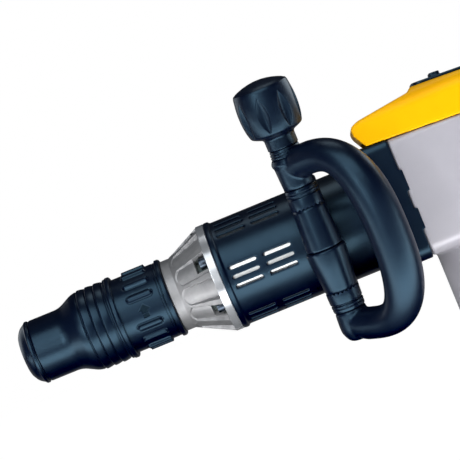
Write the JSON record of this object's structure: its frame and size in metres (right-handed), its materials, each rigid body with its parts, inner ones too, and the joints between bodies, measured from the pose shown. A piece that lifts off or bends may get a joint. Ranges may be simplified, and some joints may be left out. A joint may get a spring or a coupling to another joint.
{
  "type": "demolition hammer",
  "caption": "Corded demolition hammer with a quick-release chuck, ribbed front housing, vented barrel, swivelling D side handle, vertical motor and closed rear handle.",
  "frame": {"origin": "centre of the tool bore's mouth, on the striking axis", "axes": "-X out of the chuck, +Z towards the top cover, -Y towards the side handle"},
  "size_m": [0.6145, 0.1853, 0.3557],
  "materials": {
    "black_plastic": "moulded, fine grain",
    "rubber": "soft moulded",
    "cast_aluminium": "as cast, one machined ring",
    "painted_housing": "cast, with satin silver paint",
    "yellow_cover": "gloss",
    "steel": "ground",
    "dark_screws": "black oxide",
    "bronze": "sintered",
    "copper": "turned",
    "laminations": "varnished",
    "inner_plastic": "moulded"
  },
  "bodies": {
    "housing": {"front_bush": "bronze", "front_housing": "cast_aluminium", "front_bolts": "dark_screws", "impact_damper": "rubber", "impact_cylinder": "steel", "crank_bearings": "steel", "barrel_housing": "cast_aluminium", "barrel_cover": "black_plastic", "collar_cover": "black_plastic", "gear_housing": "painted_housing", "crankcase_lid": "cast_aluminium", "housing_screws": "dark_screws", "control_module": "inner_plastic", "top_cover": "yellow_cover", "dial_bezel": "black_plastic", "motor_bearings": "steel", "field_core": "laminations", "motor_housing": "black_plastic", "brush_holders": "bronze", "brush_caps": "black_plastic", "motor_end_cap": "black_plastic", "handle_shell_left": "black_plastic", "handle_shell_right": "black_plastic", "handle_screws": "dark_screws", "grip_pad": "rubber", "trigger_pin": "steel", "power_switch": "inner_plastic", "cord_gland": "black_plastic"},
    "chuck": {"front_cap": "black_plastic", "retaining_clip": "steel", "tool_holder": "steel", "lock_rollers": "steel", "chuck_spring": "steel", "index_ring": "black_plastic"},
    "sleeve": {"lock_sleeve": "black_plastic", "lock_ring": "steel"},
    "beat_piece": {"beat_piece": "steel"},
    "striker": {"striker": "steel", "striker_seal": "rubber"},
    "piston": {"piston": "steel", "piston_seal": "rubber", "wrist_pin": "steel", "con_rod": "steel", "crank_pin": "steel"},
    "crank": {"crankshaft": "steel", "crank_gear": "steel"},
    "armature": {"armature_shaft": "steel", "armature_core": "laminations", "commutator": "copper", "motor_fan": "inner_plastic"},
    "clamp": {"clamp_upper": "black_plastic", "clamp_lower": "black_plastic", "clamp_rod": "steel"},
    "side_grip": {"side_grip": "rubber", "serrated_rings": "black_plastic", "knob_spacer": "black_plastic"},
    "knob": {"side_knob": "rubber"},
    "speed_dial": {"speed_dial": "black_plastic"},
    "trigger": {"trigger": "black_plastic"},
    "lock_button": {"lock_button": "yellow_cover"}
  },
  "joints": [
    {"name": "chuck_turn", "type": "hinge", "parent": "housing", "child": "chuck", "pos_m": [0, 0, 0], "axis": [1, 0, 0], "continuous": true},
    {"name": "sleeve_slide", "type": "slide", "parent": "chuck", "child": "sleeve", "axis": [1, 0, 0], "range_m": [0, 0.01], "stiffness_N_per_m": 2500, "springref_m": -0.012, "deforming": ["chuck_spring"]},
    {"name": "beat_piece_slide", "type": "slide", "parent": "housing", "child": "beat_piece", "axis": [1, 0, 0], "range_m": [-0.0085, 0]},
    {"name": "striker_slide", "type": "slide", "parent": "housing", "child": "striker", "axis": [1, 0, 0], "range_m": [-0.0175, 0.02]},
    {"name": "piston_slide", "type": "slide", "parent": "housing", "child": "piston", "axis": [1, 0, 0], "range_m": [0, 0.034]},
    {"name": "crank_spin", "type": "hinge", "parent": "housing", "child": "crank", "pos_m": [0.453, 0, 0], "axis": [0, 0, 1], "continuous": true},
    {"name": "armature_spin", "type": "hinge", "parent": "housing", "child": "armature", "pos_m": [0.40925, 0, 0], "axis": [0, 0, 1], "continuous": true},
    {"name": "clamp_turn", "type": "hinge", "parent": "housing", "child": "clamp", "pos_m": [0.2723, 0, 0], "axis": [1, 0, 0], "continuous": true},
    {"name": "grip_swing", "type": "hinge", "parent": "clamp", "child": "side_grip", "pos_m": [0.2723, -0.06231, -0.00931], "axis": [0, -0.1478, 0.989], "range_deg": [-125, 0]},
    {"name": "knob_turn", "type": "hinge", "parent": "side_grip", "child": "knob", "pos_m": [0.2723, -0.06231, -0.00931], "axis": [0, -0.1478, 0.989], "continuous": true},
    {"name": "dial_turn", "type": "hinge", "parent": "housing", "child": "speed_dial", "pos_m": [0.4118, 0, 0.08556], "axis": [0.0499, 0, 0.9988], "range_deg": [0, 270]},
    {"name": "trigger_press", "type": "hinge", "parent": "housing", "child": "trigger", "pos_m": [0.582, 0, 0.004], "axis": [0, -1, 0], "range_deg": [0, 7], "stiffness_Nm_per_rad": 4, "springref_deg": -5.73},
    {"name": "lock_button_press", "type": "slide", "parent": "housing", "child": "lock_button", "axis": [0, 1, 0], "range_m": [0, 0.002], "stiffness_N_per_m": 800, "springref_m": -0.002}
  ],
  "couplings": [
    {"joint": "armature_spin", "follows": "crank_spin", "ratio": -3.5455}
  ]
}
